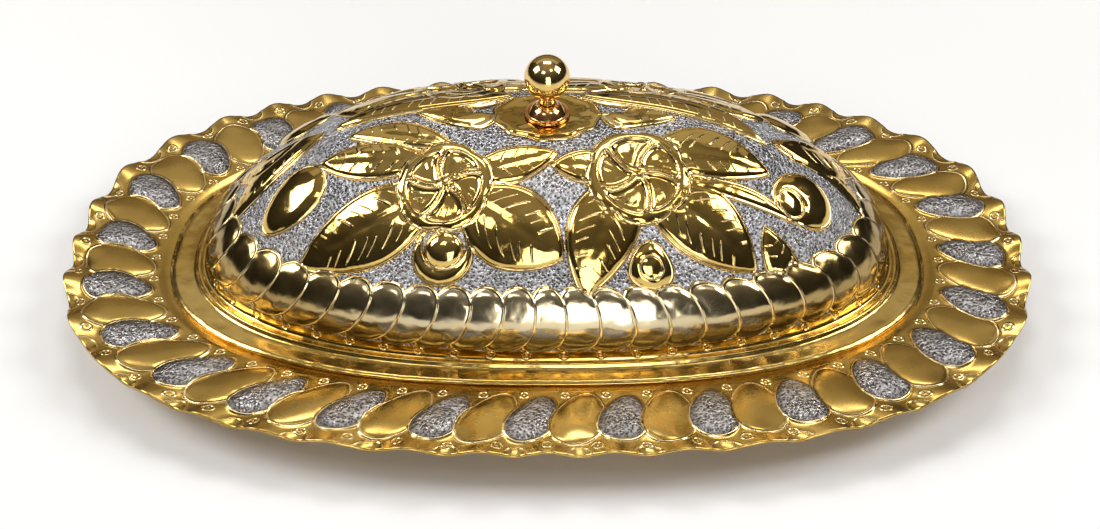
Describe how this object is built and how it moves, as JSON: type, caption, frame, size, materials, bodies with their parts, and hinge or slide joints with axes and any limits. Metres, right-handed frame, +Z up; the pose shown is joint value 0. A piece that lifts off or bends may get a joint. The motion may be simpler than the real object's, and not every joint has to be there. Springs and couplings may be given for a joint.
{
  "type": "covered oval serving tray",
  "caption": "Oval brass serving tray with a fluted rim, a shallow well and a domed lift-off lid with a ball knob on a copper foot.",
  "frame": {"origin": "centre of the tray's flat underside, on the surface it stands on", "axes": "+X along the tray's length, +Y across it, away from a person in front of it, +Z up through the knob"},
  "size_m": [0.42, 0.252, 0.1188],
  "materials": {
    "tray_brass": "satin brushed brass, with every other rim lobe silvered and matt punched",
    "lid_brass": "mirror polished brass, with a silvered ground that is matt punched round the raised leaves and flowers",
    "knob_brass": "mirror polished turned brass",
    "foot_copper": "polished turned copper-red brass",
    "washer_brass": "plain stamped brass, unpolished",
    "screw_steel": "plated steel"
  },
  "bodies": {
    "tray": {"tray": "tray_brass"},
    "lid": {"lid_dome": "lid_brass", "knob_ball": "knob_brass", "knob_foot": "foot_copper", "knob_washer": "washer_brass", "knob_screw": "screw_steel"}
  },
  "joints": [
    {"name": "lid_lift", "type": "slide", "parent": "tray", "child": "lid", "axis": [0, 0, 1], "range_m": [0, 0.15]}
  ]
}
